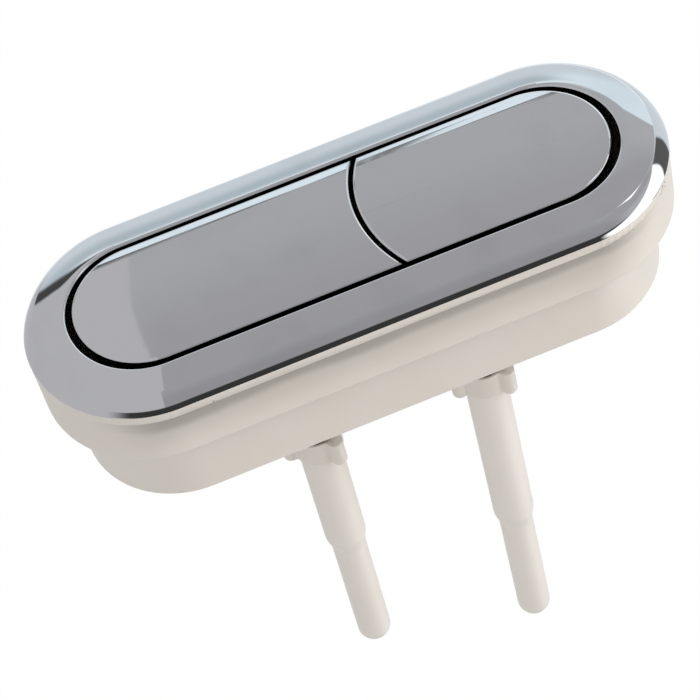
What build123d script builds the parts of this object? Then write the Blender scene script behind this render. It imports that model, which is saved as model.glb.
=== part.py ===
"""Dual flush push button actuator for a cistern lid.

A chrome racetrack bezel snaps on a stepped white housing.  Two chrome caps, split by a curved gap, are
screwed to white plungers.  Each plunger slides on a guide tube against a coil spring, and pushes the flush
valve through a threaded stem, a three-lobed lock nut and a stepped push rod.

Millimetres.  X runs along the actuator towards the half flush end, Y to the back, Z up.  The origin is the
centre of the seat, the plane of the housing's ledge that rests on the lid.
"""
from build123d import *
import os

# Bezel: the chrome racetrack ring
bezel_length = 150.0
bezel_width = 54.0
bezel_height = 4.85
bezel_wall = 1.6
face_slope = 0.06
face_curve = 0.009
band_width = 2.8
band_height = 3.7
band_bulge = 0.34
crease_round = 0.4
rim_end_width = 10.5
rim_side_width = 9.5
opening_depth = 10.5
opening_lip = 1.8
opening_edge_round = 0.4

# Snap hooks that hold the bezel on the housing
hook_width = 10.0
hook_thickness = 1.4
hook_pitch = 64.0
hook_reach = 10.0
hook_barb = 0.8
hook_barb_height = 2.0
hook_clearance = 0.2

# Housing: flange under the bezel, collar above the seat, body below it
flange_height = 2.5
collar_end_inset = 0.1
collar_side_inset = 0.7
collar_height = 16.65
collar_edge_round = 0.6
ledge_end_width = 5.1
ledge_side_width = 3.4
body_depth = 20.4
body_edge_round = 1.0
housing_wall = 2.2
floor_thickness = 2.2
rib_thickness = 1.8
floor_rib_height = 10.0

# Button caps
button_gap = 1.15
split_gap = 0.9
split_apex_x = 3.8
split_radius = 31.3
cap_height = 9.0
cap_wall = 1.8
crown_radius = 272.0
crown_rise = 0.75
cap_edge_round = 0.35
cap_boss_radius = 3.0

# Plungers and their guides
stem_pitch = 43.0
stem_centre_x = 2.0
travel = 8.0
stop_clearance = 0.3
plate_thickness = 2.5
plate_clearance = 0.2
plate_recess = 1.0
post_radius = 6.0
post_overrun = 5.0
running_clearance = 0.08
guide_wall = 1.45
guide_height = 14.9
leg_radius = 2.5
leg_inset = 15.5
leg_spread = 9.0
leg_length = 22.5
socket_wall = 1.9
socket_height = 18.9
plunger_rib_height = 4.0

# Screws that hold each cap on its plunger
screw_radius = 1.4
screw_length = 8.0
screw_head_radius = 2.7
screw_head_height = 1.8
screw_slot_width = 0.8
screw_slot_depth = 0.9
screw_slot_length = 3.4
screw_clearance = 0.05
screw_inner_offset = 11.6
screw_spread = 9.5

# Return springs
spring_wire = 1.2
spring_play = 0.6
spring_turns = 7.0

# Retaining clips under the housing floor
clip_radius = 9.0
clip_thickness = 0.8
clip_groove_depth = 0.8
clip_mouth = 8.0
clip_clearance = 0.05

# Stems, lock nuts and push rods
thread_radius = 3.5
thread_clearance = 0.05
stem_grip = 28.0
stem_tip_play = 1.0
stem_rod_grip = 20.0
nut_top_depth = 44.5
nut_height = 8.2
nut_hub_radius = 6.1
nut_lobe_radius = 1.9
nut_lobe_offset = 6.9
nut_blend_round = 0.9
nut_edge_round = 0.8
nut_cup_radius = 5.4
nut_cup_depth = 5.0
rod_upper_radius = 5.2
rod_lower_radius = 4.3
rod_cone_length = 4.5
rod_lower_length = 45.0
full_rod_upper_length = 37.7
half_rod_upper_length = 56.2
full_nut_turn = 58.0
half_nut_turn = 69.0

# Outlines that follow from the sizes above
opening_length = bezel_length - 2 * rim_end_width
opening_width = bezel_width - 2 * rim_side_width
collar_length = bezel_length - 2 * collar_end_inset
collar_width = bezel_width - 2 * collar_side_inset
body_length = collar_length - 2 * ledge_end_width
body_width = collar_width - 2 * ledge_side_width

# Levels that follow from the sizes above
bezel_top_z = collar_height + bezel_height
cap_bottom_z = bezel_top_z - cap_height
plate_bottom_z = cap_bottom_z + plate_recess
plate_top_z = plate_bottom_z + plate_thickness
cap_ceiling_z = bezel_top_z - cap_wall
crown_top_z = bezel_top_z + crown_rise
floor_bottom_z = -body_depth
floor_top_z = floor_bottom_z + floor_thickness
guide_top_z = floor_top_z + guide_height
socket_top_z = floor_top_z + socket_height
stop_z = guide_top_z + travel + stop_clearance
clip_top_z = floor_bottom_z - stop_clearance
post_bottom_z = floor_bottom_z - post_overrun
stem_top_z = post_bottom_z + stem_grip
nut_bottom_z = -nut_top_depth - nut_height
stem_bottom_z = nut_bottom_z - stem_rod_grip

# Radii that follow from the sizes above
bezel_radius = bezel_width / 2
bezel_half_straight = (bezel_length - bezel_width) / 2
opening_radius = opening_width / 2
crease_radius = bezel_radius - band_width
button_radius = opening_radius - button_gap
button_half_straight = (opening_length - opening_width) / 2
guide_bore = post_radius + running_clearance
guide_radius = guide_bore + guide_wall
spring_radius = guide_radius + spring_play + spring_wire / 2
spring_outer_radius = spring_radius + spring_wire / 2
socket_bore = leg_radius + running_clearance
socket_radius = socket_bore + socket_wall
screw_bore = screw_radius + screw_clearance
thread_bore = thread_radius + thread_clearance
full_stem_x = stem_centre_x - stem_pitch / 2
half_stem_x = stem_centre_x + stem_pitch / 2

FULL_SIDE = -1
HALF_SIDE = 1


def slab(outline, bottom_z, top_z):
    """Raise a flat outline between two levels."""
    return extrude(Pos(0, 0, bottom_z) * outline, top_z - bottom_z)


def rod(radius, bottom_z, top_z, x=0.0, y=0.0):
    """Make an upright round bar between two levels."""
    return Pos(x, y, bottom_z) * Cylinder(radius, top_z - bottom_z, align=(Align.CENTER, Align.CENTER, Align.MIN))


def block(x_range, y_range, z_range):
    """Make a box from its three ranges."""
    (x0, x1), (y0, y1), (z0, z1) = x_range, y_range, z_range
    corner = (Align.MIN, Align.MIN, Align.MIN)
    return Pos(x0, y0, z0) * Box(x1 - x0, y1 - y0, z1 - z0, align=corner)


def racetrack(profile, half_straight):
    """Carry a radius and height profile round a racetrack: two half turns joined by straight runs."""
    half_turn = revolve(profile, Axis.Z, revolution_arc=180)
    front = Rot(0, 0, -90) * profile
    run = extrude(Pos(-half_straight, 0, 0) * front, 2 * half_straight, dir=(1, 0, 0))
    right_end = Pos(half_straight, 0, 0) * Rot(0, 0, -90) * half_turn
    half_ring = right_end + run
    return half_ring + Rot(0, 0, 180) * half_ring


def hook_places():
    """Give the place and outward direction of each snap hook."""
    return [(x, side) for x in (-hook_pitch / 2, hook_pitch / 2) for side in (-1, 1)]


def hook_face_y():
    """Give the distance from the centre line to the hooks' outer face."""
    return collar_width / 2 - housing_wall - hook_clearance


def leg_places(side):
    """Give the places of a plunger's two guide legs, near the outer end of its button."""
    x = side * (opening_length / 2 - button_gap - leg_inset)
    return [(x, y) for y in (-leg_spread, leg_spread)]


def screw_places(side):
    """Give the places of the four screws round a stem, two of them halfway to its guide legs."""
    stem_x = full_stem_x if side == FULL_SIDE else half_stem_x
    leg_x = leg_places(side)[0][0]
    columns = ((stem_x + leg_x) / 2, stem_x - side * screw_inner_offset)
    return [(x, y) for x in columns for y in (-screw_spread, screw_spread)]


def racetrack_outline():
    """Give the outline of both buttons together."""
    return SlotOverall(2 * (button_half_straight + button_radius), 2 * button_radius)


def side_outline(side):
    """Give a wide outline that ends at the curved split, on one side of it."""
    centre_x = split_apex_x + split_radius
    radius = split_radius - side * split_gap / 2
    beyond = Rectangle(bezel_length, 2 * radius, align=(Align.MIN, Align.CENTER))
    half_zone = Pos(centre_x, 0) * (Circle(radius) + beyond)
    field = Rectangle(2 * bezel_length, bezel_width)
    return field & half_zone if side == HALF_SIDE else field - half_zone


def face_z(radius):
    """Give the level of the bezel's slightly crowned face at a distance from its middle line."""
    run = radius - opening_radius
    return bezel_top_z - face_slope * run - face_curve * run**2


def make_bezel():
    """Chrome ring: crowned face, steep rounded band, hollow underside, deep opening and snap hooks."""
    inner = opening_radius - (bezel_half_straight - button_half_straight) - opening_lip
    channel_inner = opening_radius + opening_lip
    crease = (crease_radius, face_z(crease_radius))
    band_foot = (bezel_radius, crease[1] - band_height)
    ceiling_z = crease[1] - bezel_wall
    face = ThreePointArc((inner, face_z(inner)), (opening_radius, bezel_top_z), crease)
    band = SagittaArc(crease, band_foot, band_bulge)
    underside = Polyline(
        band_foot,
        (bezel_radius, collar_height),
        (bezel_radius - bezel_wall, collar_height),
        (crease_radius - bezel_wall / 2, ceiling_z),
        (channel_inner, ceiling_z),
        (channel_inner, bezel_top_z - opening_depth),
        (inner, bezel_top_z - opening_depth),
        (inner, face_z(inner)),
    )
    profile = make_face([face, band, underside])
    profile = fillet(profile.vertices().sort_by_distance(crease)[0], crease_round)
    ring = racetrack(Plane.XZ * profile, bezel_half_straight)
    opening = SlotOverall(opening_length, opening_width)
    ring -= slab(opening, bezel_top_z - 2 * opening_depth, bezel_top_z + opening_depth)
    lip_edges = ring.edges().filter_by(lambda edge: edge.center().Z > bezel_top_z - opening_edge_round / 2)
    ring = fillet(lip_edges, opening_edge_round)
    for x, side in hook_places():
        ring += make_hook(x, side, ceiling_z + bezel_wall / 2)
    return ring


def make_hook(x, side, root_z):
    """Snap hook: a flat leg with an outward barb, chamfered to slide over the collar's wall."""
    face = hook_face_y()
    foot_z = collar_height - hook_reach
    barb_top_z = foot_z + hook_barb_height
    section = Polyline(
        (face - hook_thickness, root_z),
        (face - hook_thickness, foot_z),
        (face, foot_z),
        (face + hook_barb, barb_top_z),
        (face, barb_top_z),
        (face, root_z),
        close=True,
    )
    leg = extrude(Plane.YZ * make_face(section), hook_width / 2, both=True)
    turn = 0 if side > 0 else 180
    return Pos(x, 0, 0) * Rot(0, 0, turn) * leg


def make_housing():
    """White stepped housing: flange, collar, seat ledge, body, floor, guide tubes, leg sockets and ribs."""
    flange = slab(SlotOverall(bezel_length, bezel_width), collar_height - flange_height, collar_height)
    collar = slab(SlotOverall(collar_length, collar_width), 0, collar_height)
    body = slab(SlotOverall(body_length, body_width), floor_bottom_z, 0)
    collar = fillet(collar.edges().group_by(Axis.Z)[0], collar_edge_round)
    body = fillet(body.edges().group_by(Axis.Z)[0], body_edge_round)
    shell = flange + collar + body

    collar_room = SlotOverall(collar_length - 2 * housing_wall, collar_width - 2 * housing_wall)
    body_room = SlotOverall(body_length - 2 * housing_wall, body_width - 2 * housing_wall)
    shell -= slab(collar_room, housing_wall, 2 * collar_height)
    body_space = slab(body_room, floor_top_z, housing_wall)
    shell -= body_space

    inside = floor_ribs() & body_space
    for stem_x in (full_stem_x, half_stem_x):
        inside += rod(guide_radius, floor_top_z, guide_top_z, stem_x)
    for x, y in leg_places(FULL_SIDE) + leg_places(HALF_SIDE):
        inside += rod(socket_radius, floor_top_z, socket_top_z, x, y)
    shell += inside

    for stem_x in (full_stem_x, half_stem_x):
        shell -= rod(guide_bore, floor_bottom_z, guide_top_z, stem_x)
    for x, y in leg_places(FULL_SIDE) + leg_places(HALF_SIDE):
        shell -= rod(socket_bore, floor_top_z, socket_top_z, x, y)
    for x, side in hook_places():
        shell -= hook_pocket(x, side)
    return shell


def floor_ribs():
    """Stiffening ribs on the floor: one across between the springs, one through each pair of sockets."""
    columns = [stem_centre_x] + [leg_places(side)[0][0] for side in (FULL_SIDE, HALF_SIDE)]
    top_z = floor_top_z + floor_rib_height
    ribs = Part()
    for x in columns:
        across = (x - rib_thickness / 2, x + rib_thickness / 2)
        ribs += block(across, (-body_width / 2, body_width / 2), (floor_top_z, top_z))
    return ribs


def hook_pocket(x, side):
    """Pocket in the collar's inner wall that a hook's barb snaps into."""
    half_width = hook_width / 2 + hook_clearance
    wall_y = collar_width / 2 - housing_wall
    foot_z = collar_height - hook_reach
    y_range = sorted((side * (wall_y - hook_clearance), side * (wall_y + hook_barb)))
    z_range = (foot_z - hook_clearance, foot_z + hook_barb_height + hook_clearance)
    return block((x - half_width, x + half_width), y_range, z_range)


def make_cap(side):
    """Chrome button cap: top gently crowned across its width, thin skirt, four screw bosses inside."""
    outline = racetrack_outline() & side_outline(side)
    crown = Pos(0, 0, crown_top_z - crown_radius) * Rot(0, 90, 0) * Cylinder(crown_radius, 2 * bezel_length)
    cap = slab(outline, cap_bottom_z, crown_top_z) & crown
    room = offset(outline, -cap_wall, kind=Kind.INTERSECTION)
    cap -= slab(room, cap_bottom_z, cap_ceiling_z)
    rim = cap.edges().filter_by(lambda edge: edge.center().Z > bezel_top_z)
    cap = fillet(rim, cap_edge_round)
    for x, y in screw_places(side):
        cap += rod(cap_boss_radius, plate_top_z, cap_ceiling_z, x, y)
        cap -= rod(screw_bore, plate_top_z, screw_tip_z(), x, y)
    return cap


def screw_tip_z():
    """Give the level of the blind end of the screw holes."""
    return plate_bottom_z + screw_length - plate_thickness / 2


def make_plunger(side):
    """White plunger: plate inside the cap, ribs, guide legs, stop collar and hollow post."""
    stem_x = full_stem_x if side == FULL_SIDE else half_stem_x
    outline = racetrack_outline() & side_outline(side)
    outline = offset(outline, -cap_wall - plate_clearance, kind=Kind.INTERSECTION)
    plunger = slab(outline, plate_bottom_z, plate_top_z)
    plunger += rod(guide_radius, stop_z, plate_bottom_z, stem_x)
    plunger += rod(post_radius, post_bottom_z, plate_bottom_z, stem_x)
    legs = leg_places(side)
    for x, y in legs:
        plunger += rod(leg_radius, plate_bottom_z - leg_length, plate_bottom_z, x, y)
    plunger += plunger_ribs(side, stem_x)

    plunger -= rod(thread_bore, post_bottom_z, stem_top_z + stem_tip_play, stem_x)
    groove_bottom_z = clip_top_z - clip_thickness - clip_clearance
    groove = rod(post_radius, groove_bottom_z, clip_top_z + clip_clearance, stem_x)
    groove -= rod(post_radius - clip_groove_depth, groove_bottom_z, clip_top_z + clip_clearance, stem_x)
    plunger -= groove
    for x, y in screw_places(side):
        plunger -= rod(screw_bore, plate_bottom_z, plate_top_z, x, y)
    return plunger


def plunger_ribs(side, stem_x):
    """Ribs under the plate: one between the guide legs, one from it to the spring."""
    leg_x = leg_places(side)[0][0]
    z_range = (plate_bottom_z - plunger_rib_height, plate_bottom_z)
    half = rib_thickness / 2
    cross = block((leg_x - half, leg_x + half), (-leg_spread, leg_spread), z_range)
    spring_edge = stem_x + side * (spring_outer_radius + spring_play)
    spine = block(sorted((spring_edge, leg_x)), (-half, half), z_range)
    return cross + spine


def make_cap_screws(side):
    """Four pan head screws, driven up through the plate, as separate solids."""
    head_bottom_z = plate_bottom_z - screw_head_height
    shank_top_z = screw_tip_z() - screw_clearance
    head = rod(screw_head_radius, head_bottom_z, plate_bottom_z)
    head = fillet(head.edges().group_by(Axis.Z)[0], screw_head_height / 2)
    screw = head + rod(screw_radius, plate_bottom_z, shank_top_z)
    slot = Box(screw_slot_length, screw_slot_width, 2 * screw_slot_depth)
    screw -= Pos(0, 0, head_bottom_z) * (slot + Rot(0, 0, 90) * slot)
    return Compound(children=[Pos(x, y, 0) * screw for x, y in screw_places(side)])


def make_spring(stem_x):
    """Coil spring between the housing floor and the plunger plate."""
    rise = plate_bottom_z - floor_top_z - spring_wire
    path = Helix(rise / spring_turns, rise, spring_radius)
    section = Plane(origin=path @ 0, z_dir=path % 0) * Circle(spring_wire / 2)
    coil = sweep(section, path, is_frenet=True)
    return Pos(stem_x, 0, floor_top_z + spring_wire / 2) * coil


def make_clip(stem_x):
    """Open retaining clip in the post's groove, just under the floor."""
    bore = post_radius - clip_groove_depth + clip_clearance
    plan = Circle(clip_radius) - Circle(bore)
    plan -= Rectangle(clip_mouth, 2 * clip_radius, align=(Align.CENTER, Align.MAX))
    return Pos(stem_x, 0, 0) * slab(plan, clip_top_z - clip_thickness, clip_top_z)


def make_stem(stem_x):
    """Threaded stem, held in the post above and in the push rod below."""
    stem = rod(thread_radius, stem_bottom_z, stem_top_z, stem_x)
    return chamfer(stem.edges().group_by(Axis.Z)[0], thread_radius / 5)


def make_lock_nut(stem_x, turn):
    """Three-lobed lock nut with a cupped top, run down on the push rod's end."""
    plan = Circle(nut_hub_radius)
    for lobe in PolarLocations(nut_lobe_offset, 3):
        plan += lobe * Circle(nut_lobe_radius)
    plan = fillet(plan.vertices(), nut_blend_round)
    nut = slab(plan, nut_bottom_z, -nut_top_depth)
    nut = fillet(nut.edges().group_by(Axis.Z)[0], nut_edge_round)
    nut -= rod(thread_bore, nut_bottom_z, -nut_top_depth)
    nut -= rod(nut_cup_radius, -nut_top_depth - nut_cup_depth, -nut_top_depth)
    return Pos(stem_x, 0, 0) * Rot(0, 0, turn) * nut


def make_push_rod(stem_x, upper_length):
    """Push rod: threaded sleeve, short cone, slimmer shank and domed tip."""
    cone_top_z = nut_bottom_z - upper_length
    shank_top_z = cone_top_z - rod_cone_length
    tip_z = shank_top_z - rod_lower_length
    dome_z = tip_z + rod_lower_radius
    outline = Polyline(
        (0, nut_bottom_z),
        (rod_upper_radius, nut_bottom_z),
        (rod_upper_radius, cone_top_z),
        (rod_lower_radius, shank_top_z),
        (rod_lower_radius, dome_z),
    )
    dome = CenterArc((0, dome_z), rod_lower_radius, -90, 90)
    axis_line = Line((0, tip_z), (0, nut_bottom_z))
    solid = revolve(Plane.XZ * make_face([outline, dome, axis_line]), Axis.Z)
    solid -= rod(thread_bore, stem_bottom_z - stem_tip_play, nut_bottom_z)
    return Pos(stem_x, 0, 0) * solid


def make_parts():
    """Build every piece under its node name."""
    nodes = {"bezel": make_bezel(), "housing": make_housing()}
    flushes = (
        ("full_flush", FULL_SIDE, full_stem_x, full_rod_upper_length, full_nut_turn),
        ("half_flush", HALF_SIDE, half_stem_x, half_rod_upper_length, half_nut_turn),
    )
    for name, side, stem_x, rod_length, nut_turn in flushes:
        nodes[f"{name}_button"] = make_cap(side)
        nodes[f"{name}_plunger"] = make_plunger(side)
        nodes[f"{name}_cap_screws"] = make_cap_screws(side)
        nodes[f"{name}_spring"] = make_spring(stem_x)
        nodes[f"{name}_retaining_clip"] = make_clip(stem_x)
        nodes[f"{name}_stem"] = make_stem(stem_x)
        nodes[f"{name}_lock_nut"] = make_lock_nut(stem_x, nut_turn)
        nodes[f"{name}_push_rod"] = make_push_rod(stem_x, rod_length)
    return nodes


os.makedirs("parts", exist_ok=True)
for node, solid in make_parts().items():
    export_step(solid, f"parts/{node}.step")
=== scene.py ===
"""Looks of the long oval dual flush actuator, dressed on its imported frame, in metres."""

import logging
import math
from dataclasses import dataclass, replace
from enum import Enum
from typing import Optional, Protocol, Sequence, Union

import bmesh
import bpy
from mathutils import Matrix, Vector


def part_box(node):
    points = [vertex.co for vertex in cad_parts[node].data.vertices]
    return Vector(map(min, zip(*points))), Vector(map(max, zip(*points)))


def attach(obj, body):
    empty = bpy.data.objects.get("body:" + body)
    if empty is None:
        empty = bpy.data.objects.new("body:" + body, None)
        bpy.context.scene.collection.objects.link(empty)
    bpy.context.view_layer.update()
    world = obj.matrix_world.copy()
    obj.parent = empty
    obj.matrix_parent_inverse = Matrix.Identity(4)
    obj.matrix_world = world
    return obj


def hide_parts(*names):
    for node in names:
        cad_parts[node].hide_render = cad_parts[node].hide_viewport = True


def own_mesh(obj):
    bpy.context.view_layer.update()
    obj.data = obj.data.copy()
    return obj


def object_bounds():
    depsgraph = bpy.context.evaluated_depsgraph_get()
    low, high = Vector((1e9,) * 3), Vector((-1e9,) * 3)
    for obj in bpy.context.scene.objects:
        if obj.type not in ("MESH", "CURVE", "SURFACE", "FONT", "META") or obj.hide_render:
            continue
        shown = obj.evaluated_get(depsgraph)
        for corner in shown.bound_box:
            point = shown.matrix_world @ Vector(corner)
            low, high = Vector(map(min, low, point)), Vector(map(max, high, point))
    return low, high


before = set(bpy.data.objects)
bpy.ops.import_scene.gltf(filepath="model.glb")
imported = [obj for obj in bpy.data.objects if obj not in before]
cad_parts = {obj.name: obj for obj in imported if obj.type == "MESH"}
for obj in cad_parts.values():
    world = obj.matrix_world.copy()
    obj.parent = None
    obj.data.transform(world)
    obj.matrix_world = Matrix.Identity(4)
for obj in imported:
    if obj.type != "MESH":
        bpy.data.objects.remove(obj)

MM = 0.001
CAD_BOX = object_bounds()
MERGE_DISTANCE = 0.002 * MM
RING_SEGMENTS = 192
# Two level rings can bridge crosswise, so an underside falls by this much from one to the next.
UNDERSIDE_SLOPE = 0.02 * MM
ROUND_SEGMENTS = 96
BEZEL_TOP = 21.5 * MM
# The floor lies below the rods' tips by the buttons' travel and a little more.
FLOOR_CLEARANCE = 8.3 * MM

# Shared effects: where each smooth step of a value or a noise begins and ends
NOISE_ROUGHNESS = 0.55
MOTTLE_SPAN = (0.3, 0.7)
FILM_PATCH_SPAN = (0.45, 0.75)
FILM_SPECK_SPAN = (0.74, 0.80)
HAIRLINE_SPAN = (0.60, 0.72)
# Painted shadow under the housing's flange: noise on its lower edge, its dark core, its fading tail, its top
# edge and its fade towards the ends
PAINTED_SHADOW_DRIFT_SCALE = 60.0
PAINTED_SHADOW_DRIFT_SPAN = (0.2, 0.8)
PAINTED_SHADOW_UNEVENNESS = 0.05
PAINTED_SHADOW_CORE_SPAN = (0.40, 0.18)
PAINTED_SHADOW_CORE_SHARE = 0.6
PAINTED_SHADOW_FADE_SPAN = (1.0, 0.30)
PAINTED_SHADOW_TOP_SPAN = (-0.02, 0.0)
PAINTED_SHADOW_END_SPAN = (1.0, 0.76)
SMUDGE_EDGE_SPAN = (1.0, 0.4)
SMUDGE_SPECK_SCALE = 1100.0
SMUDGE_SPECK_SPAN = (0.50, 0.62)

log = logging.getLogger("actuator")

Colour = tuple[float, float, float, float]
Feed = Union[float, Colour, bpy.types.NodeSocket]


class Slot(Enum):
    """Material slots of the record that the pieces take their finish from."""

    CHROME = "chrome_plate"
    WHITE = "white_plastic"
    ROD = "rod_plastic"
    DARK = "dark_plastic"
    STEEL = "steel"


class Flush(Enum):
    """The two sides of the actuator, each with its own sliding body."""

    FULL = "full_flush"
    HALF = "half_flush"

    @property
    def stem_x(self) -> float:
        """Place of this side's stem along the actuator."""
        return -19.5 * MM if self is Flush.FULL else 23.5 * MM

    @property
    def outward(self) -> int:
        """Sign of the direction from the split to this side's end."""
        return -1 if self is Flush.FULL else 1

    @property
    def body(self) -> str:
        """Name of the body that slides with this side's button."""
        return f"{self.value}_push"

    @property
    def joint(self) -> str:
        """Name of the joint that this side's button moves on."""
        return f"{self.value}_press"

    def node(self, kind: str) -> str:
        """Name of this side's node of one kind."""
        return f"{self.value}_{kind}"


class NodeSketch:
    """Adds nodes to one node tree and joins them."""

    def __init__(self, tree: bpy.types.NodeTree) -> None:
        """Keep the tree that the nodes go into."""
        self.tree = tree

    def add(self, kind: str, feeds: dict[Union[str, int], Feed], **settings: str) -> bpy.types.Node:
        """Add one node with its settings and feeds.

        Args:
            kind: Blender's name of the node type.
            feeds: Sockets by name or number, each with a value or a socket to join.
            settings: Properties of the node.

        Returns:
            The new node.
        """
        node = self.tree.nodes.new(kind)
        for name, value in settings.items():
            setattr(node, name, value)
        self.feed(node, feeds)
        return node

    def feed(self, node: bpy.types.Node, feeds: dict[Union[str, int], Feed]) -> None:
        """Set or join the inputs of a node.

        Args:
            node: The node.
            feeds: Sockets by name or number, each with a value or a socket to join.
        """
        for key, value in feeds.items():
            if isinstance(value, bpy.types.NodeSocket):
                self.link(value, node.inputs[key])
            else:
                node.inputs[key].default_value = value

    def link(self, source: bpy.types.NodeSocket, target: bpy.types.NodeSocket) -> None:
        """Join an output to an input."""
        self.tree.links.new(source, target)

    def math(self, operation: str, first: Feed, second: Feed) -> bpy.types.NodeSocket:
        """Result of one sum on two values."""
        return self.add("ShaderNodeMath", {0: first, 1: second}, operation=operation).outputs[0]

    def ramp(self, value: Feed, start: float, end: float, low: float = 0.0,
             high: float = 1.0) -> bpy.types.NodeSocket:
        """Smooth step of a value.

        Args:
            value: The value to read.
            start: Where the step leaves low.
            end: Where the step reaches high, on either side of start.
            low: Result at start.
            high: Result at end.

        Returns:
            The stepped value.
        """
        feeds = {"Value": value, "From Min": start, "From Max": end, "To Min": low, "To Max": high}
        return self.add("ShaderNodeMapRange", feeds, interpolation_type="SMOOTHSTEP").outputs["Result"]

    def mix(self, factor: Feed, first: Feed, second: Feed) -> bpy.types.NodeSocket:
        """Colour between two colours."""
        return self.add("ShaderNodeMix", {0: factor, 6: first, 7: second}, data_type="RGBA").outputs[2]

    def noise(self, vector: Feed, scale: Feed, detail: float) -> bpy.types.NodeSocket:
        """Plain noise value at one scale."""
        feeds = {"Vector": vector, "Scale": scale, "Detail": detail, "Roughness": NOISE_ROUGHNESS}
        return self.add("ShaderNodeTexNoise", feeds).outputs[0]


GroupParts = tuple[NodeSketch, bpy.types.Node, bpy.types.Node]


class SurfaceEffect(Enum):
    """Effects that several finishes share, each built once as a node group."""

    MOULD_GRAIN = "mould_grain"
    HANDLING_FILM = "handling_film"
    POLISH_LINES = "polish_lines"
    # Painted shadow under an overhang, darkening the base colour
    PAINTED_SHADOW_LINE = "dust_line"
    SMUDGE = "smudge"

    def group(self) -> bpy.types.NodeTree:
        """Find this effect, or build it on its first use.

        Returns:
            The node group.
        """
        found = bpy.data.node_groups.get(self.value)
        if found is not None:
            return found
        builders = {
            SurfaceEffect.MOULD_GRAIN: self._mould_grain,
            SurfaceEffect.HANDLING_FILM: self._handling_film,
            SurfaceEffect.POLISH_LINES: self._polish_lines,
            SurfaceEffect.PAINTED_SHADOW_LINE: self._painted_shadow_line,
            SurfaceEffect.SMUDGE: self._smudge,
        }
        return builders[self]()

    def place(self, sketch: NodeSketch, feeds: dict[str, Feed]) -> bpy.types.Node:
        """Put this effect into a material.

        Args:
            sketch: The material's node tree.
            feeds: Values of the group's inputs.

        Returns:
            The group node.
        """
        node = sketch.tree.nodes.new("ShaderNodeGroup")
        node.node_tree = self.group()
        sketch.feed(node, feeds)
        return node

    def _start(self, values: Sequence[str], results: Sequence[str]) -> GroupParts:
        """Begin a group with a vector, some values and some results.

        Args:
            values: Names of the number inputs.
            results: Names of the number outputs.

        Returns:
            The sketch of the group, its input node and its output node.
        """
        tree = bpy.data.node_groups.new(self.value, "ShaderNodeTree")
        tree.interface.new_socket("Vector", in_out="INPUT", socket_type="NodeSocketVector")
        for name in values:
            tree.interface.new_socket(name, in_out="INPUT", socket_type="NodeSocketFloat")
        for name in results:
            tree.interface.new_socket(name, in_out="OUTPUT", socket_type="NodeSocketFloat")
        return NodeSketch(tree), tree.nodes.new("NodeGroupInput"), tree.nodes.new("NodeGroupOutput")

    def _mould_grain(self) -> bpy.types.NodeTree:
        """Fine skin of a moulding tool, with a slow unevenness of tone.

        Returns:
            The node group.
        """
        sketch, given, result = self._start(("Grain Scale", "Mottle Scale"), ("Height", "Mottle"))
        place = given.outputs["Vector"]
        grain = sketch.noise(place, given.outputs["Grain Scale"], 3.0)
        mottle = sketch.noise(place, given.outputs["Mottle Scale"], 2.0)
        sketch.link(grain, result.inputs["Height"])
        sketch.link(sketch.ramp(mottle, *MOTTLE_SPAN), result.inputs["Mottle"])
        return sketch.tree

    def _handling_film(self) -> bpy.types.NodeTree:
        """Thin film that handling leaves, in soft patches with small specks.

        Returns:
            The node group.
        """
        sketch, given, result = self._start(("Patch Scale", "Speck Scale"), ("Mask",))
        place = given.outputs["Vector"]
        patches = sketch.ramp(sketch.noise(place, given.outputs["Patch Scale"], 4.0), *FILM_PATCH_SPAN)
        specks = sketch.ramp(sketch.noise(place, given.outputs["Speck Scale"], 1.0), *FILM_SPECK_SPAN)
        sketch.link(sketch.math("MAXIMUM", patches, specks), result.inputs["Mask"])
        return sketch.tree

    def _polish_lines(self) -> bpy.types.NodeTree:
        """Hairlines left by wiping along the piece.

        Returns:
            The node group.
        """
        sketch, given, result = self._start(("Scale", "Stretch"), ("Mask",))
        stretch = given.outputs["Stretch"]
        drawn = sketch.add("ShaderNodeCombineXYZ", {"X": 1.0, "Y": stretch, "Z": stretch})
        feeds = {0: given.outputs["Vector"], 1: drawn.outputs[0]}
        stretched = sketch.add("ShaderNodeVectorMath", feeds, operation="MULTIPLY").outputs[0]
        lines = sketch.noise(stretched, given.outputs["Scale"], 2.0)
        sketch.link(sketch.ramp(lines, *HAIRLINE_SPAN), result.inputs["Mask"])
        return sketch.tree

    def _painted_shadow_line(self) -> bpy.types.NodeTree:
        """Painted shadow under an overhang along the sides, darkest just below it, with a soft uneven lower
        edge.

        Returns:
            The node group.
        """
        sketch, given, result = self._start(("Top", "Depth", "Reach"), ("Mask",))
        place = given.outputs["Vector"]
        split = sketch.add("ShaderNodeSeparateXYZ", {"Vector": place}).outputs
        below = sketch.math("SUBTRACT", given.outputs["Top"], split["Z"])
        depth = sketch.math("DIVIDE", below, given.outputs["Depth"])
        drift = sketch.noise(place, PAINTED_SHADOW_DRIFT_SCALE, 2.0)
        uneven = sketch.ramp(drift, *PAINTED_SHADOW_DRIFT_SPAN, -PAINTED_SHADOW_UNEVENNESS, PAINTED_SHADOW_UNEVENNESS)
        shadow_core = sketch.ramp(sketch.math("ADD", depth, uneven), *PAINTED_SHADOW_CORE_SPAN, 0.0, PAINTED_SHADOW_CORE_SHARE)
        shadow_fade = sketch.ramp(depth, *PAINTED_SHADOW_FADE_SPAN, 0.0, 1.0 - PAINTED_SHADOW_CORE_SHARE)
        fading = sketch.math("ADD", shadow_core, shadow_fade)
        under = sketch.ramp(depth, *PAINTED_SHADOW_TOP_SPAN)
        along = sketch.math("DIVIDE", sketch.math("ABSOLUTE", split["X"], 0.0), given.outputs["Reach"])
        sides = sketch.math("MULTIPLY", under, sketch.ramp(along, *PAINTED_SHADOW_END_SPAN))
        sketch.link(sketch.math("MULTIPLY", fading, sides), result.inputs["Mask"])
        return sketch.tree

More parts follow.
